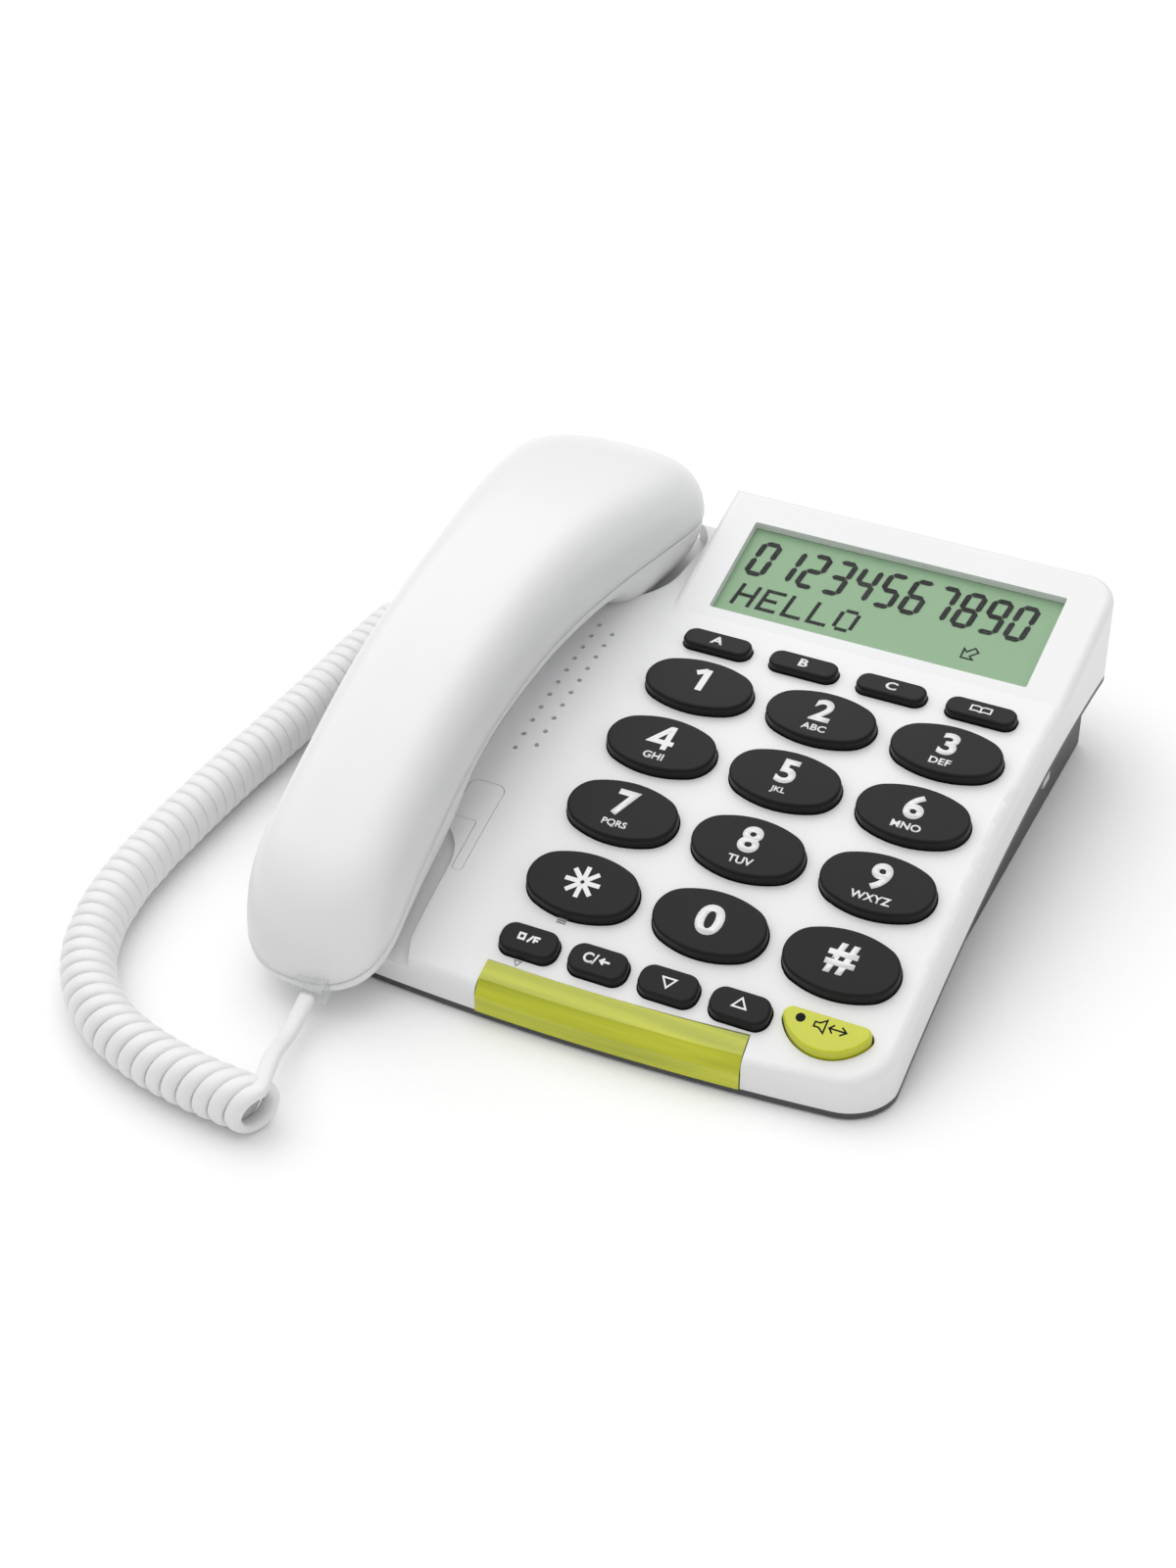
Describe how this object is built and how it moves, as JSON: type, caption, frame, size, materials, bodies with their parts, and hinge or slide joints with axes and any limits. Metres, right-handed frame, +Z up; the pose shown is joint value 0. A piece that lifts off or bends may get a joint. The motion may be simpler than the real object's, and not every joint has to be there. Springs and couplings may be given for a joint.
{
  "type": "corded desk phone",
  "caption": "Corded desk phone with a wedge base, large oval keys, a tilted display, a light bar along the front edge and a handset on a curly cord in a side cradle.",
  "frame": {"origin": "on the desk under the middle of the phone's outline, handset in its cradle", "axes": "+Z up, +Y from the front edge towards the display, +X towards the user's right when facing +Y"},
  "size_m": [0.2053, 0.2419, 0.0695],
  "materials": {
    "white_housing": "fine satin, slightly glossy moulded plastic",
    "dark_housing": "fine matte moulded texture",
    "key_caps": "satin, light printed legends",
    "accent": "translucent yellow-green",
    "clear_plastic": "clear moulded plastic",
    "lcd": "grey-green liquid-crystal glass",
    "board": "green solder mask",
    "inner_plastic": "unfinished moulded plastic",
    "steel": "zinc-plated steel",
    "rubber": "soft matte rubber",
    "silicone": "translucent silicone",
    "cord": "smooth flexible cord jacket",
    "battery": "printed sleeve with a plain end",
    "switch_knob": "satin light grey"
  },
  "bodies": {
    "base": {"top_housing": "white_housing", "bottom_shell": "dark_housing", "light_bar": "accent", "display_window": "clear_plastic", "display_glass": "lcd", "display_carrier": "inner_plastic", "main_board": "board", "dome_sheet": "silicone", "loudspeaker": "steel", "lamp_board": "board", "cradle_cover": "white_housing", "line_socket": "inner_plastic", "cord_socket": "inner_plastic", "battery_door": "dark_housing", "battery_cells": "battery", "battery_contacts": "steel", "housing_screws": "steel", "rubber_feet": "rubber", "hook_spring": "steel", "hook_switch": "board", "base_plug": "clear_plastic", "cord_lead_front": "cord", "cord_coil": "cord", "cord_lead_rear": "cord"},
    "handset": {"handset_upper": "white_housing", "handset_lower": "white_housing", "ear_capsule": "steel", "microphone": "steel", "balance_weight": "steel", "handset_socket": "inner_plastic", "handset_screws": "steel", "handset_plug": "clear_plastic"},
    "hook": {"hook_plunger": "inner_plastic"},
    "ringer_knob": {"ringer_switch": "switch_knob"},
    "key_1": {"key_1": "key_caps"},
    "key_2": {"key_2": "key_caps"},
    "key_3": {"key_3": "key_caps"},
    "key_4": {"key_4": "key_caps"},
    "key_5": {"key_5": "key_caps"},
    "key_6": {"key_6": "key_caps"},
    "key_7": {"key_7": "key_caps"},
    "key_8": {"key_8": "key_caps"},
    "key_9": {"key_9": "key_caps"},
    "key_star": {"key_star": "key_caps"},
    "key_0": {"key_0": "key_caps"},
    "key_hash": {"key_hash": "key_caps"},
    "memory_key_a": {"memory_key_a": "key_caps"},
    "memory_key_b": {"memory_key_b": "key_caps"},
    "memory_key_c": {"memory_key_c": "key_caps"},
    "phone_book_key": {"phone_book_key": "key_caps"},
    "mute_key": {"mute_key": "key_caps"},
    "clear_key": {"clear_key": "key_caps"},
    "down_key": {"down_key": "key_caps"},
    "up_key": {"up_key": "key_caps"},
    "boost_key": {"boost_key": "accent"}
  },
  "joints": [
    {"name": "handset_lift", "type": "slide", "parent": "base", "child": "handset", "axis": [0, 0, 1], "range_m": [0, 0.11], "deforming": ["cord_lead_front", "cord_coil"]},
    {"name": "hook_press", "type": "slide", "parent": "base", "child": "hook", "axis": [0, 0, 1], "range_m": [0, 0.0035], "deforming": ["hook_spring"]},
    {"name": "ringer_slide", "type": "slide", "parent": "base", "child": "ringer_knob", "axis": [0, 1, 0], "range_m": [-0.003, 0.003]},
    {"name": "key_1_press", "type": "slide", "parent": "base", "child": "key_1", "axis": [0, -0.2079, 0.9781], "range_m": [-0.0016, 0], "stiffness_N_per_m": 400, "springref_m": 0.0004},
    {"name": "key_2_press", "type": "slide", "parent": "base", "child": "key_2", "axis": [0, -0.2079, 0.9781], "range_m": [-0.0016, 0], "stiffness_N_per_m": 400, "springref_m": 0.0004},
    {"name": "key_3_press", "type": "slide", "parent": "base", "child": "key_3", "axis": [0, -0.2079, 0.9781], "range_m": [-0.0016, 0], "stiffness_N_per_m": 400, "springref_m": 0.0004},
    {"name": "key_4_press", "type": "slide", "parent": "base", "child": "key_4", "axis": [0, -0.2079, 0.9781], "range_m": [-0.0016, 0], "stiffness_N_per_m": 400, "springref_m": 0.0004},
    {"name": "key_5_press", "type": "slide", "parent": "base", "child": "key_5", "axis": [0, -0.2079, 0.9781], "range_m": [-0.0016, 0], "stiffness_N_per_m": 400, "springref_m": 0.0004},
    {"name": "key_6_press", "type": "slide", "parent": "base", "child": "key_6", "axis": [0, -0.2079, 0.9781], "range_m": [-0.0016, 0], "stiffness_N_per_m": 400, "springref_m": 0.0004},
    {"name": "key_7_press", "type": "slide", "parent": "base", "child": "key_7", "axis": [0, -0.2079, 0.9781], "range_m": [-0.0016, 0], "stiffness_N_per_m": 400, "springref_m": 0.0004},
    {"name": "key_8_press", "type": "slide", "parent": "base", "child": "key_8", "axis": [0, -0.2079, 0.9781], "range_m": [-0.0016, 0], "stiffness_N_per_m": 400, "springref_m": 0.0004},
    {"name": "key_9_press", "type": "slide", "parent": "base", "child": "key_9", "axis": [0, -0.2079, 0.9781], "range_m": [-0.0016, 0], "stiffness_N_per_m": 400, "springref_m": 0.0004},
    {"name": "key_star_press", "type": "slide", "parent": "base", "child": "key_star", "axis": [0, -0.2079, 0.9781], "range_m": [-0.0016, 0], "stiffness_N_per_m": 400, "springref_m": 0.0004},
    {"name": "key_0_press", "type": "slide", "parent": "base", "child": "key_0", "axis": [0, -0.2079, 0.9781], "range_m": [-0.0016, 0], "stiffness_N_per_m": 400, "springref_m": 0.0004},
    {"name": "key_hash_press", "type": "slide", "parent": "base", "child": "key_hash", "axis": [0, -0.2079, 0.9781], "range_m": [-0.0016, 0], "stiffness_N_per_m": 400, "springref_m": 0.0004},
    {"name": "memory_key_a_press", "type": "slide", "parent": "base", "child": "memory_key_a", "axis": [0, -0.2079, 0.9781], "range_m": [-0.0016, 0], "stiffness_N_per_m": 400, "springref_m": 0.0004},
    {"name": "memory_key_b_press", "type": "slide", "parent": "base", "child": "memory_key_b", "axis": [0, -0.2079, 0.9781], "range_m": [-0.0016, 0], "stiffness_N_per_m": 400, "springref_m": 0.0004},
    {"name": "memory_key_c_press", "type": "slide", "parent": "base", "child": "memory_key_c", "axis": [0, -0.2079, 0.9781], "range_m": [-0.0016, 0], "stiffness_N_per_m": 400, "springref_m": 0.0004},
    {"name": "phone_book_key_press", "type": "slide", "parent": "base", "child": "phone_book_key", "axis": [0, -0.2079, 0.9781], "range_m": [-0.0016, 0], "stiffness_N_per_m": 400, "springref_m": 0.0004},
    {"name": "mute_key_press", "type": "slide", "parent": "base", "child": "mute_key", "axis": [0, -0.2079, 0.9781], "range_m": [-0.0016, 0], "stiffness_N_per_m": 400, "springref_m": 0.0004},
    {"name": "clear_key_press", "type": "slide", "parent": "base", "child": "clear_key", "axis": [0, -0.2079, 0.9781], "range_m": [-0.0016, 0], "stiffness_N_per_m": 400, "springref_m": 0.0004},
    {"name": "down_key_press", "type": "slide", "parent": "base", "child": "down_key", "axis": [0, -0.2079, 0.9781], "range_m": [-0.0016, 0], "stiffness_N_per_m": 400, "springref_m": 0.0004},
    {"name": "up_key_press", "type": "slide", "parent": "base", "child": "up_key", "axis": [0, -0.2079, 0.9781], "range_m": [-0.0016, 0], "stiffness_N_per_m": 400, "springref_m": 0.0004},
    {"name": "boost_key_press", "type": "slide", "parent": "base", "child": "boost_key", "axis": [0, -0.2079, 0.9781], "range_m": [-0.0016, 0], "stiffness_N_per_m": 400, "springref_m": 0.0004}
  ],
  "couplings": [
    {"joint": "hook_press", "follows": "handset_lift", "ratio": 0.031818}
  ]
}
